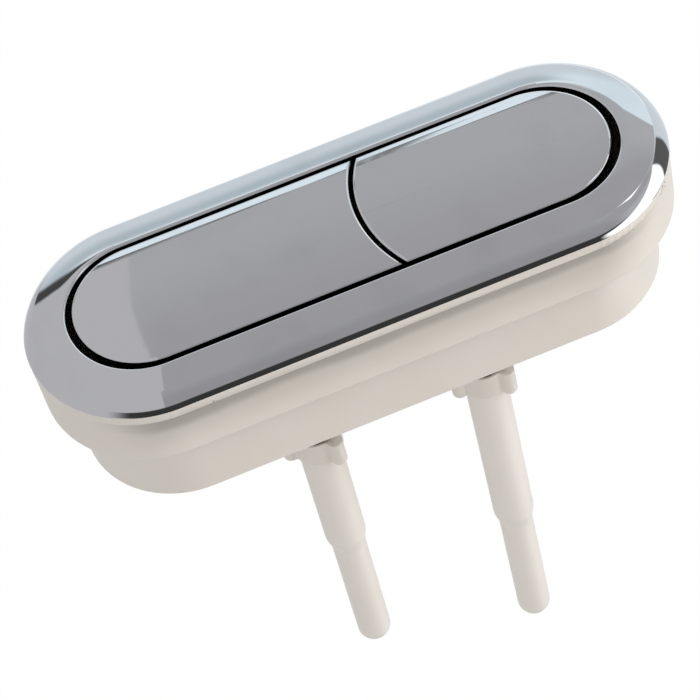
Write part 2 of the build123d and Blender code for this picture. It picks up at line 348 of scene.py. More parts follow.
    def _smudge(self) -> bpy.types.NodeTree:
        """Dirty specks scattered round one point.

        Returns:
            The node group.
        """
        sketch, given, result = self._start(("X", "Y", "Z", "Reach"), ("Mask",))
        place = given.outputs["Vector"]
        centre = sketch.add("ShaderNodeCombineXYZ", {axis: given.outputs[axis] for axis in "XYZ"}).outputs[0]
        feeds = {0: place, 1: centre}
        away = sketch.add("ShaderNodeVectorMath", feeds, operation="DISTANCE").outputs["Value"]
        near = sketch.ramp(sketch.math("DIVIDE", away, given.outputs["Reach"]), *SMUDGE_EDGE_SPAN)
        specks = sketch.ramp(sketch.noise(place, SMUDGE_SPECK_SCALE, 2.0), *SMUDGE_SPECK_SPAN)
        sketch.link(sketch.math("MULTIPLY", near, specks), result.inputs["Mask"])
        return sketch.tree


class Finish(Protocol):
    """What a piece needs of its finish."""

    slot: Slot

    def material(self) -> bpy.types.Material:
        """The finish as a Blender material."""


def new_surface(name: str) -> tuple[NodeSketch, bpy.types.Node, bpy.types.NodeSocket]:
    """Begin a material on a Principled shader.

    Args:
        name: Name of the material.

    Returns:
        The sketch of its nodes, the shader and the Object coordinates.
    """
    material = bpy.data.materials.new(name)
    material.use_nodes = True
    shader = material.node_tree.nodes["Principled BSDF"]
    place = material.node_tree.nodes.new("ShaderNodeTexCoord")
    return NodeSketch(material.node_tree), shader, place.outputs["Object"]


@dataclass(frozen=True)
class ChromePlate:
    """Bright plating over moulded plastic: mirror smooth, with a faint film and a slow waviness."""

    slot: Slot = Slot.CHROME
    bright: Colour = (0.640, 0.645, 0.655, 1.0)
    dull: Colour = (0.600, 0.606, 0.618, 1.0)
    roughness: float = 0.020
    film_roughness: float = 0.045
    line_roughness: float = 0.040
    film_patches: float = 70.0
    film_specks: float = 900.0
    line_scale: float = 60.0
    line_stretch: float = 30.0
    wave_scale: float = 55.0
    wave_height: float = 0.004 * MM

    def material(self) -> bpy.types.Material:
        """Find the plating, or draw it on its first use.

        Returns:
            The material.
        """
        found = bpy.data.materials.get("plated_chrome")
        if found is not None:
            return found
        sketch, shader, place = new_surface("plated_chrome")
        feeds = {"Vector": place, "Patch Scale": self.film_patches, "Speck Scale": self.film_specks}
        film = SurfaceEffect.HANDLING_FILM.place(sketch, feeds)
        feeds = {"Vector": place, "Scale": self.line_scale, "Stretch": self.line_stretch}
        lines = SurfaceEffect.POLISH_LINES.place(sketch, feeds)
        filmed = sketch.ramp(film.outputs["Mask"], 0.0, 1.0, self.roughness, self.film_roughness)
        lined = sketch.ramp(lines.outputs["Mask"], 0.0, 1.0, 0.0, self.line_roughness)
        sketch.link(sketch.math("MAXIMUM", filmed, lined), shader.inputs["Roughness"])
        sketch.link(sketch.mix(film.outputs["Mask"], self.bright, self.dull), shader.inputs["Base Color"])
        shader.inputs["Metallic"].default_value = 1.0
        wave = sketch.noise(place, self.wave_scale, 1.0)
        bump = sketch.add("ShaderNodeBump", {"Strength": 1.0, "Distance": self.wave_height, "Height": wave})
        sketch.link(bump.outputs["Normal"], shader.inputs["Normal"])
        return bpy.data.materials["plated_chrome"]


@dataclass(frozen=True)
class PaintedShadowLine:
    """Where shadow is painted under an overhang as a darkening of the base colour, and its tone."""

    top: float
    depth: float
    reach: float
    tone: Colour


@dataclass(frozen=True)
class Smudge:
    """A small dirty mark round one point of a moulding."""

    centre: tuple[float, float, float]
    reach: float
    tone: Colour = (0.240, 0.225, 0.200, 1.0)


@dataclass(frozen=True)
class MouldedPlastic:
    """Satin injection moulded plastic with the fine skin of its tool."""

    name: str
    slot: Slot
    light: Colour
    shade: Colour
    roughness: float
    roughness_spread: float
    grain_scale: float
    grain_height: float
    mottle_scale: float
    specular: float
    film_patches: float = 45.0
    film_specks: float = 1400.0
    # Painted shadow under an overhang that darkens the base colour, or none
    painted_shadow: Optional[PaintedShadowLine] = None
    smudges: tuple[Smudge, ...] = ()

    def material(self) -> bpy.types.Material:
        """Find the plastic, or draw it on its first use.

        Returns:
            The material.
        """
        found = bpy.data.materials.get(self.name)
        if found is not None:
            return found
        sketch, shader, place = new_surface(self.name)
        feeds = {"Vector": place, "Grain Scale": self.grain_scale, "Mottle Scale": self.mottle_scale}
        grain = SurfaceEffect.MOULD_GRAIN.place(sketch, feeds)
        feeds = {"Vector": place, "Patch Scale": self.film_patches, "Speck Scale": self.film_specks}
        film = SurfaceEffect.HANDLING_FILM.place(sketch, feeds)
        tone = sketch.mix(grain.outputs["Mottle"], self.light, self.shade)
        painted_shadow = self.painted_shadow
        # Painted shadow: the base colour darkens below the overhang along the sides
        if painted_shadow is not None:
            feeds = {"Vector": place, "Top": painted_shadow.top, "Depth": painted_shadow.depth, "Reach": painted_shadow.reach}
            shadowed = SurfaceEffect.PAINTED_SHADOW_LINE.place(sketch, feeds)
            tone = sketch.mix(shadowed.outputs["Mask"], tone, painted_shadow.tone)
        for smudge in self.smudges:
            feeds = {"Vector": place, "Reach": smudge.reach, **dict(zip("XYZ", smudge.centre))}
            dirt = SurfaceEffect.SMUDGE.place(sketch, feeds)
            tone = sketch.mix(dirt.outputs["Mask"], tone, smudge.tone)
        sketch.link(tone, shader.inputs["Base Color"])
        roughest = self.roughness + self.roughness_spread
        skin = sketch.ramp(film.outputs["Mask"], 0.0, 1.0, self.roughness, roughest)
        sketch.link(skin, shader.inputs["Roughness"])
        feeds = {"Strength": 1.0, "Distance": self.grain_height, "Height": grain.outputs["Height"]}
        bump = sketch.add("ShaderNodeBump", feeds)
        sketch.link(bump.outputs["Normal"], shader.inputs["Normal"])
        shader.inputs["Specular IOR Level"].default_value = self.specular
        return bpy.data.materials[self.name]


@dataclass(frozen=True)
class DrawnSteel:
    """Plated steel of the springs, clips and screws, with lines from drawing."""

    slot: Slot = Slot.STEEL
    bright: Colour = (0.62, 0.61, 0.59, 1.0)
    dull: Colour = (0.46, 0.45, 0.43, 1.0)
    roughness: float = 0.22
    worn_roughness: float = 0.40
    film_patches: float = 160.0
    film_specks: float = 1800.0
    line_scale: float = 200.0
    line_stretch: float = 14.0

    def material(self) -> bpy.types.Material:
        """Find the steel, or draw it on its first use.

        Returns:
            The material.
        """
        found = bpy.data.materials.get("drawn_steel")
        if found is not None:
            return found
        sketch, shader, place = new_surface("drawn_steel")
        feeds = {"Vector": place, "Patch Scale": self.film_patches, "Speck Scale": self.film_specks}
        film = SurfaceEffect.HANDLING_FILM.place(sketch, feeds)
        feeds = {"Vector": place, "Scale": self.line_scale, "Stretch": self.line_stretch}
        lines = SurfaceEffect.POLISH_LINES.place(sketch, feeds)
        sketch.link(sketch.mix(film.outputs["Mask"], self.bright, self.dull), shader.inputs["Base Color"])
        worn = sketch.math("MAXIMUM", film.outputs["Mask"], lines.outputs["Mask"])
        skin = sketch.ramp(worn, 0.0, 1.0, self.roughness, self.worn_roughness)
        sketch.link(skin, shader.inputs["Roughness"])
        shader.inputs["Metallic"].default_value = 1.0
        return bpy.data.materials["drawn_steel"]


CHROME = ChromePlate()
STEEL = DrawnSteel()
WHITE = MouldedPlastic(
    name="white_moulding",
    slot=Slot.WHITE,
    light=(0.805, 0.758, 0.690, 1.0),
    shade=(0.780, 0.730, 0.660, 1.0),
    roughness=0.40,
    roughness_spread=0.12,
    grain_scale=2600.0,
    grain_height=0.012 * MM,
    mottle_scale=32.0,
    specular=0.45,
)
HOUSING_WHITE = replace(
    WHITE,
    name="housing_moulding",
    # Painted shadow under the flange along the sides, as a darkening of the base colour
    painted_shadow=PaintedShadowLine(top=14.15 * MM, depth=13.0 * MM, reach=68.0 * MM, tone=(0.455, 0.425, 0.372, 1.0)),
    smudges=(
        Smudge(centre=(67.8 * MM, -18.4 * MM, 15.2 * MM), reach=2.2 * MM),
        Smudge(centre=(-41.0 * MM, -27.0 * MM, 14.3 * MM), reach=0.9 * MM),
    ),
)
ROD_PLASTIC = MouldedPlastic(
    name="rod_moulding",
    slot=Slot.ROD,
    light=(0.860, 0.815, 0.755, 1.0),
    shade=(0.835, 0.785, 0.720, 1.0),
    roughness=0.46,
    roughness_spread=0.10,
    grain_scale=2200.0,
    grain_height=0.014 * MM,
    mottle_scale=26.0,
    specular=0.40,
)
DARK_PLASTIC = MouldedPlastic(
    name="dark_moulding",
    slot=Slot.DARK,
    light=(0.050, 0.049, 0.047, 1.0),
    shade=(0.032, 0.031, 0.030, 1.0),
    roughness=0.48,
    roughness_spread=0.15,
    grain_scale=3000.0,
    grain_height=0.010 * MM,
    mottle_scale=90.0,
    specular=0.45,
)


def join_loops(bm: bmesh.types.BMesh, loops: Sequence[Sequence[bmesh.types.BMEdge]]) -> None:
    """Bridge each loop of edges with the next one."""
    for near, far in zip(loops, loops[1:]):
        bmesh.ops.bridge_loops(bm, edges=[*near, *far])


def face_outwards(bm: bmesh.types.BMesh) -> None:
    """Turn the faces of one closed shell so that they enclose a positive volume.

    Args:
        bm: The mesh, with that shell alone in it.
    """
    bmesh.ops.recalc_face_normals(bm, faces=bm.faces)
    if bm.calc_volume(signed=True) < 0.0:
        bmesh.ops.reverse_faces(bm, faces=bm.faces)


def fill_loop(bm: bmesh.types.BMesh, edges: Sequence[bmesh.types.BMEdge]) -> bmesh.types.BMFace:
    """One face across a closed loop of edges."""
    return bmesh.ops.contextual_create(bm, geom=list(edges))["faces"][0]


def swing(bm: bmesh.types.BMesh, geom: Sequence, centre: Vector, axis: Vector, angle: float, steps: int,
          rise: float = 0.0) -> list:
    """Spin geometry round an axis, rising evenly along Z where asked.

    Args:
        bm: The mesh.
        geom: Vertices and edges to spin.
        centre: A point on the axis.
        axis: Direction of the axis.
        angle: Whole turn in radians.
        steps: Number of steps.
        rise: Whole rise along Z.

    Returns:
        The geometry at the end of the spin.
    """
    made = bmesh.ops.spin(
        bm,
        geom=list(geom),
        cent=centre,
        axis=axis,
        dvec=(0.0, 0.0, rise / steps),
        angle=angle,
        steps=steps,
        use_merge=False,
    )
    return made["geom_last"]


def turned(bm: bmesh.types.BMesh, edges: Sequence[bmesh.types.BMEdge], x: float) -> None:
    """Turn a profile fully round an upright axis, and close its seam and poles.

    Args:
        bm: The mesh.
        edges: The profile.
        x: Place of the axis along the actuator.
    """
    verts = list(dict.fromkeys(vert for edge in edges for vert in edge.verts))
    bmesh.ops.spin(
        bm,
        geom=[*verts, *edges],
        cent=(x, 0.0, 0.0),
        axis=(0.0, 0.0, 1.0),
        angle=math.tau,
        steps=ROUND_SEGMENTS,
        use_merge=True,
    )
    bmesh.ops.remove_doubles(bm, verts=bm.verts, dist=MERGE_DISTANCE)


def chain(bm: bmesh.types.BMesh, points: Sequence[Sequence[float]],
          closed: bool = False) -> list[bmesh.types.BMEdge]:
    """Edges along a few points.

    Args:
        bm: The mesh.
        points: Corners of the line.
        closed: Whether the last point joins the first.

    Returns:
        The edges in order.
    """
    verts = [bm.verts.new(point) for point in points]
    pairs = list(zip(verts, verts[1:]))
    if closed:
        pairs.append((verts[-1], verts[0]))
    return [bm.edges.new(pair) for pair in pairs]


def merged_copy(node: str) -> bmesh.types.BMesh:
    """Copy a node's mesh and join its loose triangles.

    Args:
        node: Name of the node.

    Returns:
        The joined mesh.
    """
    bm = bmesh.new()
    bm.from_mesh(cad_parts[node].data)
    bmesh.ops.remove_doubles(bm, verts=bm.verts, dist=MERGE_DISTANCE / 2)
    return bm


def set_piece(name: str, bm: bmesh.types.BMesh, finish: Finish, body: str, node: str,
              sharp_angle: float = 30.0, soften: float = 0.0) -> bpy.types.Object:
    """Turn a mesh into a finished piece that stands for a node.

    Args:
        name: Name of the piece.
        bm: The mesh, which is used up.
        finish: Its finish.
        body: The body that it rides on.
        node: The node that it stands for.
        sharp_angle: Angle in degrees past which an edge stays sharp.
        soften: Width of a bevel on sharp edges, or nothing.

    Returns:
        The piece.
    """
    mesh = bpy.data.meshes.new(name)
    bm.to_mesh(mesh)
    bm.free()
    mesh.shade_smooth()
    mesh.set_sharp_from_angle(angle=math.radians(sharp_angle))
    mesh.materials.append(finish.material())
    piece = bpy.data.objects.new(name, mesh)
    bpy.context.scene.collection.objects.link(piece)
    if soften:
        bevel = piece.modifiers.new("soft_edges", "BEVEL")
        bevel.width = soften
        bevel.segments = 3
        bevel.limit_method = "ANGLE"
        bevel.angle_limit = math.radians(sharp_angle)
        bevel.harden_normals = True
    else:
        normals = piece.modifiers.new("even_normals", "WEIGHTED_NORMAL")
        normals.keep_sharp = True
    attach(piece, body)
    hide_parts(node)
    log.info("%s rides on %s for %s", name, body, node)
    return piece


@dataclass(frozen=True)
class Ring:
    """One racetrack ring of a loft."""

    half_straight: float
    radius: float
    height: float

    def draw(self, bm: bmesh.types.BMesh) -> list[bmesh.types.BMEdge]:
        """Draw the ring as a circle whose halves move apart.

        Args:
            bm: The mesh.

        Returns:
            Its edges.
        """
        turn = Matrix.Rotation(math.pi / RING_SEGMENTS, 4, "Z")
        place = Matrix.Translation((0.0, 0.0, self.height)) @ turn
        made = bmesh.ops.create_circle(bm, segments=RING_SEGMENTS, radius=self.radius, matrix=place)
        for side in (-1, 1):
            half = [vert for vert in made["verts"] if vert.co.x * side > 0.0]
            bmesh.ops.translate(bm, verts=half, vec=(side * self.half_straight, 0.0, 0.0))
        return list(dict.fromkeys(edge for vert in made["verts"] for edge in vert.link_edges))


@dataclass
class Bezel:
    """Chrome racetrack ring with a crowned face, a steep rounded band and snap hooks below."""

    half_straight: float = 48.0 * MM
    radius: float = 27.0 * MM
    foot: float = 16.65 * MM
    wall: float = 1.6 * MM
    crease_radius: float = 24.2 * MM
    face_slope: float = 0.06
    face_curve: float = 0.009 / MM
    band_height: float = 3.7 * MM
    band_bulge: float = 0.34 * MM
    opening_half_straight: float = 47.0 * MM
    opening_radius: float = 17.5 * MM
    opening_depth: float = 10.5 * MM
    opening_lip: float = 1.8 * MM
    crease_round: float = 0.12 * MM
    opening_round: float = 0.6 * MM
    band_steps: int = 10
    face_steps: int = 7
    face_share: float = 0.85
    crease_segments: int = 5
    opening_segments: int = 7
    hook_width: float = 10.0 * MM
    hook_pitch: float = 64.0 * MM
    hook_face: float = 23.9 * MM
    hook_thickness: float = 1.4 * MM
    hook_foot: float = 6.65 * MM
    hook_barb: float = 0.8 * MM
    hook_barb_height: float = 2.0 * MM

    def face_height(self, radius: float) -> float:
        """Height of the crowned face at a distance from the racetrack's spine."""
        run = radius - self.opening_radius
        return BEZEL_TOP - self.face_slope * run - self.face_curve * run**2

    def band_rings(self) -> list[Ring]:
        """Space rings up the bulged band, from its foot to just below the crease.

        Returns:
            The rings.
        """
        foot = Vector((self.radius, self.face_height(self.crease_radius) - self.band_height))
        crease = Vector((self.crease_radius, self.face_height(self.crease_radius)))
        chord = crease - foot
        outward = Vector((chord.y, -chord.x)).normalized()
        rings = []
        for step in range(self.band_steps):
            part = step / self.band_steps
            point = foot + chord * part + outward * (4.0 * self.band_bulge * part * (1.0 - part))
            rings.append(Ring(self.half_straight, point.x, point.y))
        return rings

    def face_rings(self) -> list[Ring]:
        """Space rings over most of the face, from the crease towards the opening.

        Returns:
            The rings.
        """
        span = (self.crease_radius - self.opening_radius) * self.face_share
        radii = [self.crease_radius - span * step / (self.face_steps - 1) for step in range(self.face_steps)]
        return [Ring(self.half_straight, radius, self.face_height(radius)) for radius in radii]

    def build(self) -> None:
        """Loft the ring, round its edges, add the hooks and set the piece."""
        bm = bmesh.new()
        ceiling = self.face_height(self.crease_radius) - self.wall
        lip_foot = BEZEL_TOP - self.opening_depth
        channel = self.opening_radius + self.opening_lip
        band = self.band_rings()
        face = self.face_rings()
        opening = Ring(self.opening_half_straight, self.opening_radius, BEZEL_TOP)
        under = [
            Ring(self.opening_half_straight, self.opening_radius, lip_foot),
            Ring(self.half_straight, channel, lip_foot + UNDERSIDE_SLOPE),
            Ring(self.half_straight, channel, ceiling),
            Ring(self.half_straight, self.crease_radius - self.wall / 2, ceiling - UNDERSIDE_SLOPE),
            Ring(self.half_straight, self.radius - self.wall, self.foot + UNDERSIDE_SLOPE),
            Ring(self.half_straight, self.radius, self.foot),
        ]
        rings = [*band, *face, opening, *under]
        loops = [ring.draw(bm) for ring in rings]
        join_loops(bm, [*loops, loops[0]])
        crease_edges = loops[len(band)]
        opening_edges = loops[len(band) + len(face)]
        rounds = (
            (crease_edges, self.crease_round, self.crease_segments),
            (opening_edges, self.opening_round, self.opening_segments),
        )
        for edges, offset, segments in rounds:
            bmesh.ops.bevel(
                bm,
                geom=edges,
                offset=offset,
                segments=segments,
                profile=0.5,
                affect="EDGES",
                material=-1,
            )
        for x in (-self.hook_pitch / 2, self.hook_pitch / 2):
            for side in (-1, 1):
                self.add_hook(bm, x, side, ceiling + self.wall / 2)
        bmesh.ops.recalc_face_normals(bm, faces=bm.faces)
        set_piece("plated_bezel", bm, CHROME, "root", "bezel", sharp_angle=22.0)

    def add_hook(self, bm: bmesh.types.BMesh, x: float, side: int, root: float) -> None:
        """Add one barbed snap hook.

        Args:
            bm: The bezel's mesh.
            x: Place of the hook along the actuator.
            side: Which long side it stands on, -1 or 1.
            root: Height of its root.
        """
        start = x - self.hook_width / 2
        barb_top = self.hook_foot + self.hook_barb_height
        corners = (
            (self.hook_face - self.hook_thickness, root),
            (self.hook_face - self.hook_thickness, self.hook_foot),
            (self.hook_face, self.hook_foot),
            (self.hook_face + self.hook_barb, barb_top),
            (self.hook_face, barb_top),
            (self.hook_face, root),
        )
        section = fill_loop(bm, chain(bm, [(start, side * y, z) for y, z in corners], closed=True))
        made = bmesh.ops.extrude_face_region(bm, geom=[section], use_keep_orig=True)
        verts = [item for item in made["geom"] if isinstance(item, bmesh.types.BMVert)]
        bmesh.ops.translate(bm, verts=verts, vec=(self.hook_width, 0.0, 0.0))


@dataclass
class ButtonCap:
    """Chrome cap of one button: a top gently crowned across its width, a thin skirt and screw bosses."""

    flush: Flush
    half_straight: float
    crown_radius: float
    crown_easing: float
    radius: float = 16.35 * MM
    bottom: float = 12.5 * MM
    ceiling: float = 19.7 * MM
    wall: float = 1.8 * MM
    crown_top: float = 22.25 * MM
    crown_strips: int = 24
    edge_round: float = 0.6 * MM
    split_centre: float = 35.1 * MM
    split_radius: float = 31.3 * MM
    split_gap: float = 0.9 * MM
    boss_radius: float = 3.0 * MM
    boss_foot: float = 16.0 * MM
    screw_head_radius: float = 2.7 * MM
    end_steps: int = 72
    split_steps: int = 24
    edge_segments: int = 7
    boss_segments: int = 32

    def outline(self, bm: bmesh.types.BMesh, height: float, inset: float) -> list[bmesh.types.BMEdge]:
        """Draw one closed ring of the button.

        Args:
            bm: The mesh.
            height: Height of the ring.
            inset: Distance of the ring inside the button's outline.

        Returns:
            Its edges.
        """
        known = set(bm.edges)
        out = self.flush.outward
        up = Vector((0.0, 0.0, 1.0))
        half_width = self.radius - inset
        end = Vector((out * self.half_straight, 0.0, height))
        first = bm.verts.new(end + Vector((0.0, -out * half_width, 0.0)))
        last = swing(bm, [first], end, up, math.pi, self.end_steps)[0]
        radius = self.split_radius - out * (self.split_gap / 2 + inset)
        opening = math.asin(half_width / radius)
        middle = Vector((self.split_centre, 0.0, height))
        front = bm.verts.new(middle + Vector((-radius * math.cos(opening), -half_width, 0.0)))
        back = swing(bm, [front], middle, up, -2.0 * opening, self.split_steps)[0]
        near, far = sorted((first, last), key=lambda vert: vert.co.y)
        bm.edges.new((near, front))
        bm.edges.new((far, back))
        return [edge for edge in bm.edges if edge not in known]

    def crown(self, bm: bmesh.types.BMesh, rim: Sequence[bmesh.types.BMEdge]) -> None:
        """Close the cap with a top that is cut into strips, bent to the crown and rounded at its rim.

        Args:
            bm: The mesh.
            rim: The ring that the top closes.
        """
        strips = [fill_loop(bm, rim)]
        reach = 2.0 * self.radius * (1.0 - 2.0 / self.crown_strips)
        for step in range(self.crown_strips + 1):
            across = reach * (step / self.crown_strips - 0.5)
            parts = dict.fromkeys(strips)
            for strip in strips:
                parts.update(dict.fromkeys([*strip.edges, *strip.verts]))
            cut = bmesh.ops.bisect_plane(
                bm,
                geom=list(parts),
                plane_co=(0.0, across, 0.0),
                plane_no=(0.0, 1.0, 0.0),
            )
            strips = [item for item in cut["geom"] if isinstance(item, bmesh.types.BMFace)]
        for vert in dict.fromkeys(vert for strip in strips for vert in strip.verts):
            radius = self.crown_radius + self.crown_easing * abs(vert.co.x)
            vert.co.z -= radius - math.sqrt(radius**2 - vert.co.y**2)
        tops = set(strips)
        edges = dict.fromkeys(edge for strip in strips for edge in strip.edges)
        rim = [edge for edge in edges if sum(face in tops for face in edge.link_faces) == 1]
        bmesh.ops.bevel(
            bm,
            geom=rim,
            offset=self.edge_round,
            segments=self.edge_segments,
            profile=0.5,
            affect="EDGES",
            material=-1,
        )

    def boss_places(self) -> list[tuple[float, float]]:
        """Read the places of the four screw bosses from the node of this side's screws.

        Returns:
            X and Y of each boss.
        """
        low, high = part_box(self.flush.node("cap_screws"))
        columns = (low[0] + self.screw_head_radius, high[0] - self.screw_head_radius)
        rows = (low[1] + self.screw_head_radius, high[1] - self.screw_head_radius)
        return [(x, y) for x in columns for y in rows]

    def build(self) -> None:
        """Build the cap from its outline and set the piece."""
        bm = bmesh.new()
        levels = (
            (self.ceiling, self.wall),
            (self.bottom + UNDERSIDE_SLOPE, self.wall),
            (self.bottom, 0.0),
            (self.crown_top, 0.0),
        )
        loops = [self.outline(bm, height, inset) for height, inset in levels]
        join_loops(bm, loops)
        fill_loop(bm, loops[0])
        self.crown(bm, loops[-1])
        face_outwards(bm)
        for x, y in self.boss_places():
            height = self.ceiling - self.boss_foot
            place = Matrix.Translation((x, y, self.boss_foot + height / 2))
            bmesh.ops.create_cone(
                bm,
                cap_ends=True,
                segments=self.boss_segments,
                radius1=self.boss_radius,
                radius2=self.boss_radius,
                depth=height,
                matrix=place,
            )
        name = f"{self.flush.value}_plated_cap"
        set_piece(name, bm, CHROME, self.flush.body, self.flush.node("button"), sharp_angle=20.0)


@dataclass
class ReturnSpring:
    """Coil spring round one guide tube, with a closed turn at each end."""

    flush: Flush
    floor: float = -18.2 * MM
    top: float = 13.5 * MM
    coil_radius: float = 8.73 * MM
    wire: float = 1.2 * MM
    wire_segments: int = 12
    closed_pitch: float = 1.04
    open_turns: int = 5
    steps_per_turn: int = 40
    travel: float = 8.0 * MM

    def build(self) -> None:
        """Wind the wire, set the piece and give it a mesh of its own."""
        bm = bmesh.new()
        x = self.flush.stem_x
        start = self.floor + self.wire / 2
        place = Matrix.Translation((x + self.coil_radius, 0.0, start)) @ Matrix.Rotation(math.pi / 2, 4, "X")
        made = bmesh.ops.create_circle(bm, segments=self.wire_segments, radius=self.wire / 2, matrix=place)
        section = made["verts"]
        ring = list(dict.fromkeys(edge for vert in section for edge in vert.link_edges))
        closed_rise = self.wire * self.closed_pitch
        open_rise = self.top - self.floor - self.wire - 2.0 * closed_rise
        up = Vector((0.0, 0.0, 1.0))
        centre = Vector((x, 0.0, 0.0))
        geom = [*section, *ring]
        for turns, rise in ((1, closed_rise), (self.open_turns, open_rise), (1, closed_rise)):
            geom = swing(bm, geom, centre, up, math.tau * turns, self.steps_per_turn * turns, rise)
        end = [item for item in geom if isinstance(item, bmesh.types.BMEdge)]
        fill_loop(bm, ring)
        fill_loop(bm, end)
        bmesh.ops.recalc_face_normals(bm, faces=bm.faces)
        name = f"{self.flush.value}_return_spring"
        spring = set_piece(name, bm, STEEL, "root", self.flush.node("spring"), sharp_angle=40.0)
        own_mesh(spring)


@dataclass
class ThreadedStem:
    """Dark stem with a coarse rolled thread along its whole length."""

    flush: Flush
    crest_radius: float = 3.5 * MM
    root_radius: float = 2.95 * MM
    pitch: float = 1.5 * MM
    crest_start: float = 0.36
    crest_end: float = 0.52
    flank_end: float = 0.88
    ridge_overlap: float = 0.12 * MM
    end_round: float = 0.4 * MM
    steps_per_turn: int = 36

    def build(self) -> None:
        """Turn the core, wind the thread and set the piece."""
        bm = bmesh.new()
        x = self.flush.stem_x
        low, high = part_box(self.flush.node("stem"))
        bottom = low[2]
        length = high[2] - bottom
        place = Matrix.Translation((x, 0.0, bottom + length / 2))
        bmesh.ops.create_cone(
            bm,
            cap_ends=True,
            segments=self.steps_per_turn,
            radius1=self.root_radius,
            radius2=self.root_radius,
            depth=length,
            matrix=place,
        )
        rims = [edge for edge in bm.edges if abs(edge.verts[0].co.z - edge.verts[1].co.z) < MERGE_DISTANCE]
        bmesh.ops.bevel(
            bm,
            geom=rims,
            offset=self.end_round,
            segments=2,
            profile=0.5,
            affect="EDGES",
            material=-1,
        )
        turns = int(length / self.pitch) - 2
        inner = x + self.root_radius - self.ridge_overlap
        outer = x + self.crest_radius
        start = bottom + self.pitch
        flank = (
            (inner, 0.0, start),
            (outer, 0.0, start + self.crest_start * self.pitch),
            (outer, 0.0, start + self.crest_end * self.pitch),
            (inner, 0.0, start + self.flank_end * self.pitch),
        )
        ridge = chain(bm, flank, closed=True)
        verts = list(dict.fromkeys(vert for edge in ridge for vert in edge.verts))
        up = Vector((0.0, 0.0, 1.0))
        centre = Vector((x, 0.0, 0.0))
        steps = turns * self.steps_per_turn
        last = swing(bm, [*verts, *ridge], centre, up, math.tau * turns, steps, self.pitch * turns)
        fill_loop(bm, ridge)
        fill_loop(bm, [item for item in last if isinstance(item, bmesh.types.BMEdge)])
        bmesh.ops.recalc_face_normals(bm, faces=bm.faces)
        name = f"{self.flush.value}_threaded_stem"
        set_piece(name, bm, DARK_PLASTIC, self.flush.body, self.flush.node("stem"))


@dataclass
class PushRod:
    """Moulded rod: sleeve, short cone, slimmer shank and a domed tip."""

    flush: Flush
    sleeve_length: float
    sleeve_radius: float = 5.2 * MM
    shank_radius: float = 4.3 * MM
    cone_length: float = 4.5 * MM
    shank_length: float = 45.0 * MM
    bore_radius: float = 3.55 * MM
    bore_depth: float = 21.0 * MM
    soften: float = 0.35 * MM
    dome_steps: int = 16

    def build(self) -> None:
        """Turn the rod's profile and set the piece."""
        bm = bmesh.new()
        x = self.flush.stem_x
        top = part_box(self.flush.node("lock_nut"))[0][2]
        cone_top = top - self.sleeve_length
        shank_top = cone_top - self.cone_length
        dome = shank_top - self.shank_length + self.shank_radius
        profile = (
            (x, 0.0, top - self.bore_depth),
            (x + self.bore_radius, 0.0, top - self.bore_depth),
            (x + self.bore_radius, 0.0, top),
            (x + self.sleeve_radius, 0.0, top),
            (x + self.sleeve_radius, 0.0, cone_top),
            (x + self.shank_radius, 0.0, shank_top),
            (x + self.shank_radius, 0.0, dome),
        )
        line = chain(bm, profile)
        end = line[-1].verts[1]
        swing(bm, [end], Vector((x, 0.0, dome)), Vector((0.0, 1.0, 0.0)), math.pi / 2, self.dome_steps)
        turned(bm, list(bm.edges), x)
        bmesh.ops.recalc_face_normals(bm, faces=bm.faces)
        name = f"{self.flush.value}_rod"
        body, node = self.flush.body, self.flush.node("push_rod")
        set_piece(name, bm, ROD_PLASTIC, body, node, sharp_angle=9.0, soften=self.soften)


@dataclass
class Moulding:
    """A part that keeps the frame's own shape, with smooth walls and crisp edges."""

    name: str
    node: str
    body: str
    finish: Finish
    sharp_angle: float = 30.0

    def build(self) -> None:
        """Join the node's triangles, smooth them and set the piece."""
        set_piece(self.name, merged_copy(self.node), self.finish, self.body, self.node, self.sharp_angle)


class Bearing(Enum):
    """Directions that the fields of the surround are measured along."""

    RIGHT = (1.0, 0.0, 0.0)
    BACK = (0.0, 1.0, 0.0)
    UP = (0.0, 0.0, 1.0)
    CARD_EDGE = (0.0, -0.45, 1.0)
    WINDOW_SIDE = (1.0, 0.0, -2.1)
    CEILING_SEAM = (1.0, -0.053, 0.0)
    MIDDLE_SEAM = (1.0, -0.0073, 0.0)
    FRONT_SEAM = (1.0, -0.13, 0.0)


Limit = tuple[Bearing, float, float]


@dataclass(frozen=True)
class Patch:
    """Soft edged field of the surround.

    Each limit is a bearing, with the place where the field is gone and the place where it is full.
    """

    tone: Colour
    limits: tuple[Limit, ...]


def grey(value: float) -> Colour:
    """Plain grey of one strength."""
    return (value, value, value, 1.0)


QUIET_WALL: Colour = (0.500, 0.495, 0.515, 1.0)
PALE_HALF: Colour = (0.650, 0.645, 0.662, 1.0)
BACK_WALL: tuple[Limit, ...] = (
    (Bearing.BACK, 0.12, 0.25),
    (Bearing.RIGHT, -0.30, -0.22),
    (Bearing.WINDOW_SIDE, -1.53, -1.50),
)


